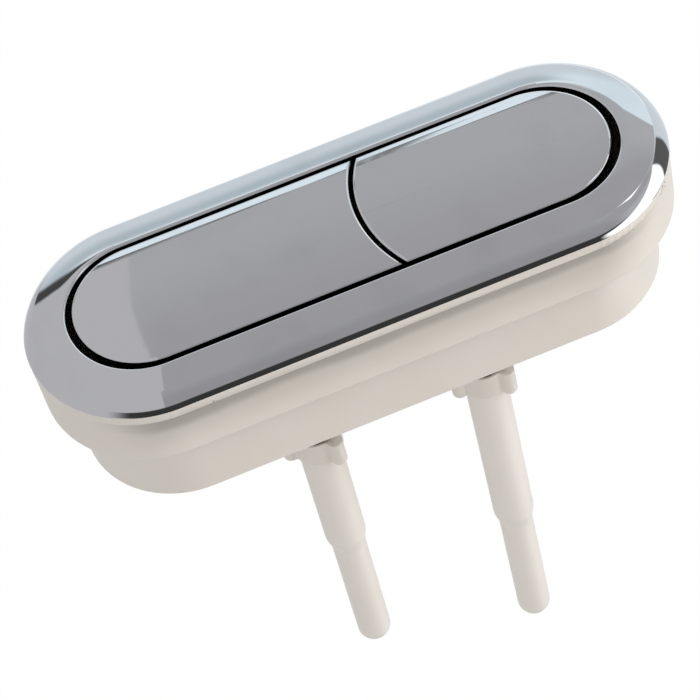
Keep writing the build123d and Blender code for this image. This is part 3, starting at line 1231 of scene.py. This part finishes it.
@dataclass
class StudioSurround:
    """White ground for the camera, plain soft light for the mouldings and a drawn room for the plating."""

    daylight: Colour = (0.56, 0.56, 0.56, 1.0)
    ceiling: Colour = (0.550, 0.562, 0.585, 1.0)
    patches: tuple[Patch, ...] = (
        # Ceiling overhead
        Patch((0.492, 0.482, 0.508, 1.0), ((Bearing.UP, 0.72, 0.86),)),
        # Wall on the right and the ceiling above it
        Patch((0.590, 0.600, 0.625, 1.0), ((Bearing.RIGHT, 0.10, 0.30), (Bearing.UP, 0.86, 0.74))),
        Patch(QUIET_WALL, ((Bearing.RIGHT, 0.10, 0.30), (Bearing.UP, 0.74, 0.86))),
        # Darker wall at the front
        Patch((0.422, 0.415, 0.435, 1.0), ((Bearing.BACK, -0.30, -1.00), (Bearing.RIGHT, 0.75, 0.45))),
        # Paler left half of the room, up to a bent seam
        Patch(PALE_HALF, ((Bearing.CEILING_SEAM, -0.0178, -0.0191), (Bearing.FRONT_SEAM, -0.0490, -0.0530))),
        Patch(PALE_HALF, ((Bearing.MIDDLE_SEAM, 0.0107, 0.0098), (Bearing.FRONT_SEAM, -0.0490, -0.0530))),
        # Dark edge low at the front
        Patch(
            grey(0.05),
            (
                (Bearing.BACK, -0.30, -0.50),
                (Bearing.UP, 0.10, 0.04),
                (Bearing.RIGHT, -0.85, -0.60),
            ),
        ),
        # Dark panel at the back right
        Patch(
            grey(0.10),
            (
                (Bearing.RIGHT, 0.50, 0.56),
                (Bearing.BACK, 0.20, 0.40),
                (Bearing.UP, 0.10, 0.20),
                (Bearing.UP, 0.78, 0.72),
            ),
        ),
        # Bright wall at the back, its upper strip, the greyer band under that and the lines round it
        Patch((0.86, 0.935, 0.99, 1.0), ((Bearing.UP, 0.686, 0.682), *BACK_WALL)),
        Patch((1.05, 1.18, 1.26, 1.0), ((Bearing.UP, 0.686, 0.682), (Bearing.UP, 0.640, 0.655), *BACK_WALL)),
        Patch((0.62, 0.72, 0.78, 1.0), ((Bearing.UP, 0.53, 0.612), (Bearing.UP, 0.652, 0.622), *BACK_WALL)),
        Patch(grey(0.22), ((Bearing.UP, 0.6825, 0.6835), (Bearing.UP, 0.6865, 0.6850), *BACK_WALL)),
        Patch(grey(0.08), ((Bearing.UP, 0.690, 0.686), (Bearing.WINDOW_SIDE, -1.40, -1.45), *BACK_WALL)),
        # Window at the back right and a brighter one below it
        Patch(
            (1.00, 1.13, 1.20, 1.0),
            (
                (Bearing.UP, 0.702, 0.696),
                (Bearing.UP, 0.52, 0.60),
                (Bearing.RIGHT, 0.20, 0.28),
                (Bearing.BACK, 0.25, 0.35),
            ),
        ),
        Patch(
            grey(1.60),
            (
                (Bearing.RIGHT, 0.10, 0.20),
                (Bearing.BACK, 0.60, 0.68),
                (Bearing.UP, 0.45, 0.40),
                (Bearing.UP, -0.05, 0.05),
            ),
        ),
        # Dark screen low on the right
        Patch(
            grey(0.14),
            (
                (Bearing.RIGHT, 0.60, 0.70),
                (Bearing.BACK, -0.01, 0.03),
                (Bearing.BACK, 0.36, 0.31),
                (Bearing.UP, 0.42, 0.32),
            ),
        ),
        # Wall at the front right, with a lamp high on it and a white card below
        Patch(
            QUIET_WALL,
            (
                (Bearing.BACK, 0.05, -0.15),
                (Bearing.RIGHT, 0.35, 0.55),
                (Bearing.UP, 0.30, 0.42),
            ),
        ),
        Patch(
            grey(1.80),
            (
                (Bearing.RIGHT, 0.46, 0.52),
                (Bearing.BACK, -0.10, -0.18),
                (Bearing.BACK, -0.45, -0.38),
                (Bearing.UP, 0.58, 0.62),
            ),
        ),
        Patch(
            grey(1.65),
            (
                (Bearing.RIGHT, 0.25, 0.40),
                (Bearing.BACK, 0.02, -0.02),
                (Bearing.CARD_EDGE, 0.40, 0.36),
            ),
        ),
    )

    def build(self) -> None:
        """Draw the world by direction and by kind of ray."""
        world = bpy.data.worlds.new("studio_surround")
        world.use_nodes = True
        bpy.context.scene.world = world
        sketch = NodeSketch(world.node_tree)
        place = sketch.add("ShaderNodeTexCoord", {}).outputs["Generated"]
        measures = {}
        for bearing in Bearing:
            feeds = {0: place, 1: bearing.value}
            measure = sketch.add("ShaderNodeVectorMath", feeds, operation="DOT_PRODUCT")
            measures[bearing] = measure.outputs["Value"]
        room = self.ceiling
        for patch in self.patches:
            mask = 1.0
            for bearing, gone, full in patch.limits:
                mask = sketch.math("MULTIPLY", mask, sketch.ramp(measures[bearing], gone, full))
            room = sketch.mix(mask, room, patch.tone)
        rays = sketch.add("ShaderNodeLightPath", {}).outputs
        seen = sketch.mix(rays["Is Glossy Ray"], self.daylight, room)
        seen = sketch.mix(rays["Is Camera Ray"], seen, grey(1.0))
        sketch.link(seen, world.node_tree.nodes["Background"].inputs["Color"])


@dataclass
class PaleFloor:
    """Plain white floor that keeps a faint shadow and is clear from below."""

    size: float = 3.0
    colour: Colour = (0.86, 0.86, 0.86, 1.0)
    glow: float = 0.99

    def build(self) -> None:
        """Lay the floor under the rods' tips."""
        bm = bmesh.new()
        place = Matrix.Translation((0.0, 0.0, CAD_BOX[0][2] - FLOOR_CLEARANCE))
        bmesh.ops.create_grid(bm, x_segments=1, y_segments=1, size=self.size, matrix=place)
        mesh = bpy.data.meshes.new("pale_floor")
        bm.to_mesh(mesh)
        bm.free()
        material = bpy.data.materials.new("pale_floor")
        material.use_nodes = True
        sketch = NodeSketch(material.node_tree)
        material.node_tree.nodes.remove(material.node_tree.nodes["Principled BSDF"])
        matt = sketch.add("ShaderNodeBsdfDiffuse", {"Color": self.colour}).outputs[0]
        glow = sketch.add("ShaderNodeEmission", {"Color": grey(1.0), "Strength": 1.0}).outputs[0]
        rays = sketch.add("ShaderNodeLightPath", {}).outputs
        share = sketch.math("MULTIPLY", rays["Is Camera Ray"], self.glow)
        upper = sketch.add("ShaderNodeMixShader", {0: share, 1: matt, 2: glow}).outputs[0]
        clear = sketch.add("ShaderNodeBsdfTransparent", {}).outputs[0]
        below = sketch.add("ShaderNodeNewGeometry", {}).outputs["Backfacing"]
        surface = sketch.add("ShaderNodeMixShader", {0: below, 1: upper, 2: clear}).outputs[0]
        sketch.link(surface, material.node_tree.nodes["Material Output"].inputs["Surface"])
        mesh.materials.append(material)
        floor = bpy.data.objects.new("pale_floor", mesh)
        floor.visible_glossy = False
        bpy.context.scene.collection.objects.link(floor)


@dataclass(frozen=True)
class SoftLamp:
    """Large square lamp aimed at the housing."""

    name: str
    place: tuple[float, float, float]
    size: float
    power: float
    colour: tuple[float, float, float]

    def build(self) -> None:
        """Hang the lamp, out of sight of the plating."""
        data = bpy.data.lights.new(self.name, "AREA")
        data.size = self.size
        data.energy = self.power
        data.color = self.colour
        lamp = bpy.data.objects.new(self.name, data)
        place = Vector(self.place)
        lamp.matrix_world = Matrix.Translation(place) @ place.to_track_quat("Z", "Y").to_matrix().to_4x4()
        lamp.visible_glossy = False
        bpy.context.scene.collection.objects.link(lamp)


@dataclass
class StudioCamera:
    """Camera at the photograph's viewing angle."""

    place: tuple[float, float, float] = (-59.4 * MM, -405.9 * MM, 514.9 * MM)
    right: tuple[float, float, float] = (0.926289, -0.339076, -0.164364)
    up: tuple[float, float, float] = (0.368449, 0.723623, 0.583622)
    back: tuple[float, float, float] = (-0.078955, -0.601163, 0.795217)
    lens: float = 150.43
    sensor: float = 36.0

    def build(self) -> None:
        """Set the camera up and make it the scene's own."""
        data = bpy.data.cameras.new("studio_camera")
        data.lens = self.lens
        data.sensor_width = self.sensor
        data.clip_start = 0.01
        camera = bpy.data.objects.new("studio_camera", data)
        turn = Matrix((self.right, self.up, self.back)).transposed().to_4x4()
        camera.matrix_world = Matrix.Translation(self.place) @ turn
        bpy.context.scene.collection.objects.link(camera)
        bpy.context.scene.camera = camera


@dataclass
class PlungerSet:
    """All that slides with one button, from its cap to the tip of its rod, and its return spring."""

    flush: Flush
    sleeve_length: float
    cap_half_straight: float
    crown_radius: float
    crown_easing: float

    def build(self) -> None:
        """Build the pieces from the top down."""
        ButtonCap(self.flush, self.cap_half_straight, self.crown_radius, self.crown_easing).build()
        kinds = (
            ("plunger", WHITE),
            ("cap_screws", STEEL),
            ("retaining_clip", STEEL),
            ("lock_nut", WHITE),
        )
        for kind, finish in kinds:
            node = self.flush.node(kind)
            Moulding(f"{node}_body", node, self.flush.body, finish).build()
        ReturnSpring(self.flush).build()
        ThreadedStem(self.flush).build()
        PushRod(self.flush, self.sleeve_length).build()


FULL_SET = PlungerSet(
    Flush.FULL,
    sleeve_length=37.7 * MM,
    cap_half_straight=46.6 * MM,
    crown_radius=258.0 * MM,
    crown_easing=0.20,
)
HALF_SET = PlungerSet(
    Flush.HALF,
    sleeve_length=56.2 * MM,
    cap_half_straight=46.2 * MM,
    crown_radius=250.0 * MM,
    crown_easing=0.90,
)
RIGHT_LAMP = SoftLamp("right_lamp", (0.9, -0.5, 0.9), size=0.9, power=9.0, colour=(1.0, 0.98, 0.95))
LEFT_LAMP = SoftLamp("left_lamp", (-0.9, -0.6, 0.5), size=0.9, power=1.2, colour=(1.0, 0.98, 0.96))


def main() -> None:
    """Build the stage and the object in order."""
    logging.basicConfig(level=logging.INFO, format="%(name)s: %(message)s")
    bpy.context.scene.view_settings.view_transform = "Standard"
    StudioCamera().build()
    StudioSurround().build()
    PaleFloor().build()
    RIGHT_LAMP.build()
    LEFT_LAMP.build()
    Bezel().build()
    Moulding("housing_moulding", "housing", "root", HOUSING_WHITE).build()
    FULL_SET.build()
    HALF_SET.build()


if __name__ == "__main__":
    main()
